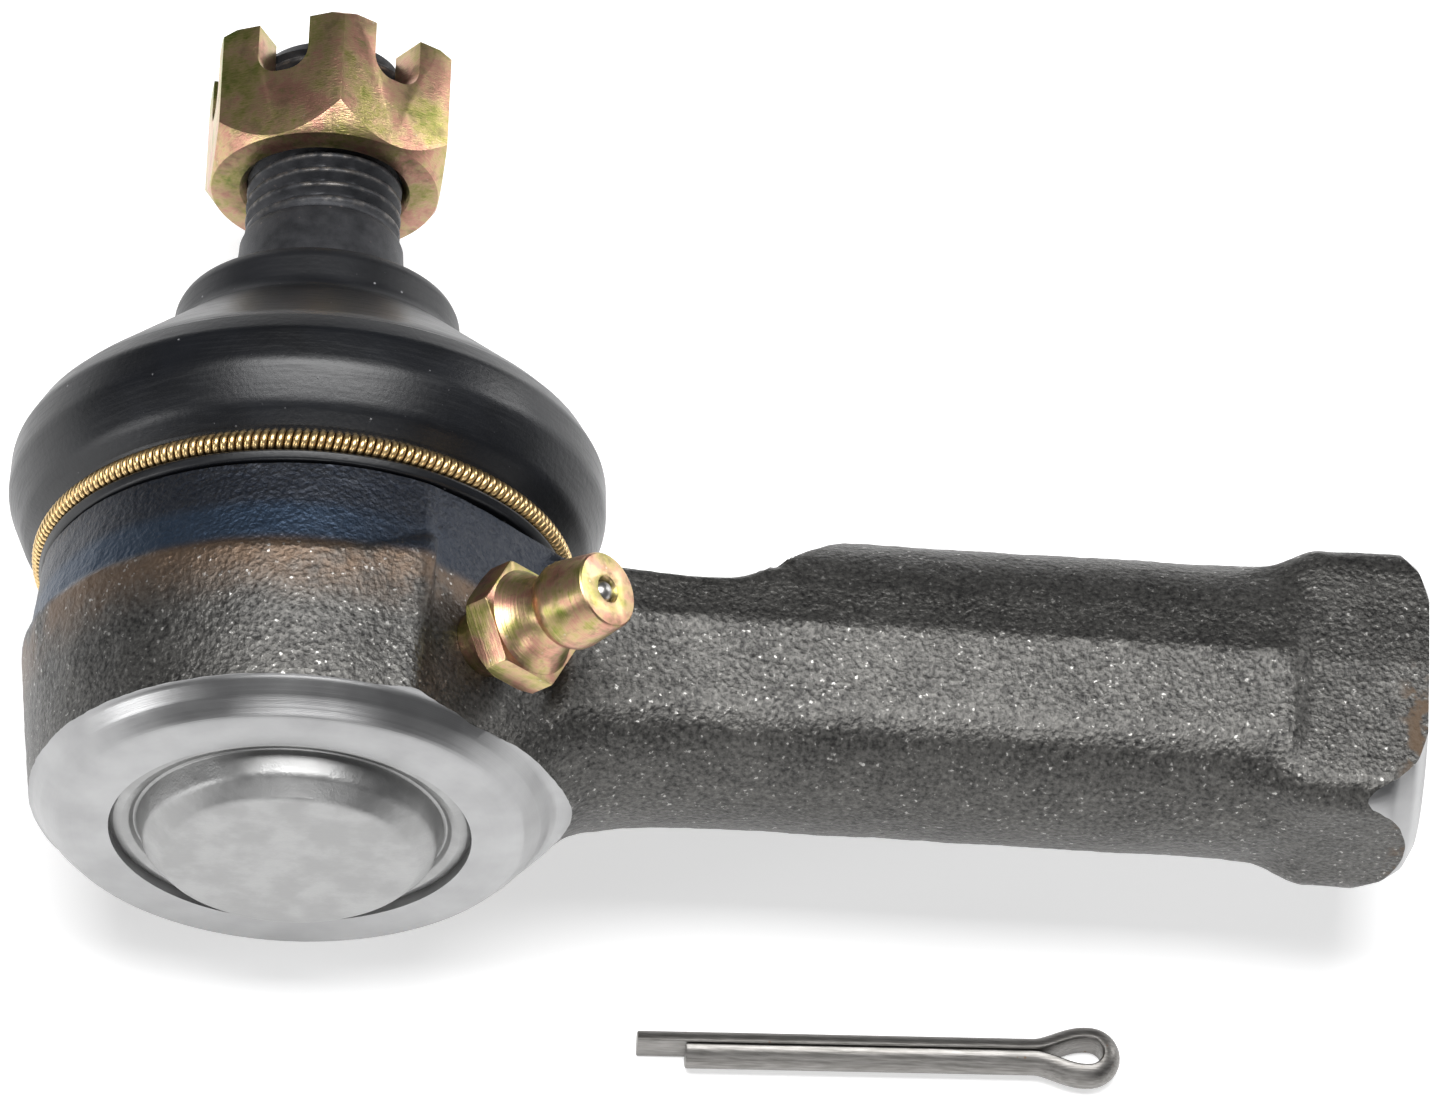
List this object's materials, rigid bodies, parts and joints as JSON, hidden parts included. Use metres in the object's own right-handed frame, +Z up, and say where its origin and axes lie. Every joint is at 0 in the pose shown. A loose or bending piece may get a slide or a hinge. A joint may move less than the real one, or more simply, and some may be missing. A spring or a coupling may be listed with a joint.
{
  "type": "tie rod end",
  "caption": "Forged ball joint with a threaded shank, tapered stud, castle nut, rubber boot with garter spring, grease fitting and loose cotter pin.",
  "frame": {"origin": "centre of the ball, where the stud's axis crosses the shank's axis", "axes": "+X along the shank to the mouth of its threaded bore, +Y along the stud towards the nut, +Z up as the part lies on its side"},
  "size_m": [0.126, 0.0857, 0.0564],
  "materials": {
    "forged_steel": "rough forged scale with a turned rim",
    "stud_steel": "dark phosphate",
    "seat_steel": "ground",
    "spring_steel": "tempered, oiled",
    "cap_steel": "satin pressed steel",
    "boot_rubber": "moulded satin black",
    "garter_wire": "bright brass-plated wire",
    "yellow_zinc": "yellow chromated zinc with iridescent tints",
    "pin_steel": "drawn wire, semi-bright"
  },
  "bodies": {
    "housing": {"socket_housing": "forged_steel", "upper_bearing_seat": "seat_steel", "lower_bearing_seat": "seat_steel", "preload_spring": "spring_steel", "end_cap": "cap_steel", "boot_garter_spring": "garter_wire", "grease_fitting_body": "yellow_zinc", "grease_fitting_spring": "spring_steel"},
    "boot": {"dust_boot": "boot_rubber"},
    "boot_neck": {"boot_neck_ring": "spring_steel"},
    "stud": {"ball_stud": "stud_steel"},
    "nut": {"castle_nut": "yellow_zinc"},
    "check_ball": {"grease_fitting_ball": "seat_steel"},
    "loose_pin": {"cotter_pin": "pin_steel"}
  },
  "joints": [
    {"name": "swing_along_shank", "type": "hinge", "parent": "housing", "child": "boot", "pos_m": [0, 0, 0], "axis": [0, 0, 1], "range_deg": [-20, 20], "deforming": ["dust_boot"]},
    {"name": "swing_across_shank", "type": "hinge", "parent": "boot", "child": "boot_neck", "pos_m": [0, 0, 0], "axis": [1, 0, 0], "range_deg": [-20, 20], "deforming": ["dust_boot"]},
    {"name": "stud_spin", "type": "hinge", "parent": "boot_neck", "child": "stud", "pos_m": [0, 0, 0], "axis": [0, 1, 0], "continuous": true},
    {"name": "nut_turn", "type": "hinge", "parent": "stud", "child": "nut", "pos_m": [0, 0.05395, 0], "axis": [0, 1, 0], "continuous": true},
    {"name": "check_ball_lift", "type": "slide", "parent": "housing", "child": "check_ball", "axis": [-0.6884, 0, -0.7254], "range_m": [0, 0.0008], "stiffness_N_per_m": 400, "springref_m": -0.001, "deforming": ["grease_fitting_spring"]},
    {"name": "pin_lift", "type": "slide", "parent": "housing", "child": "loose_pin", "axis": [0, 0, 1], "range_m": [0, 0.04]}
  ]
}
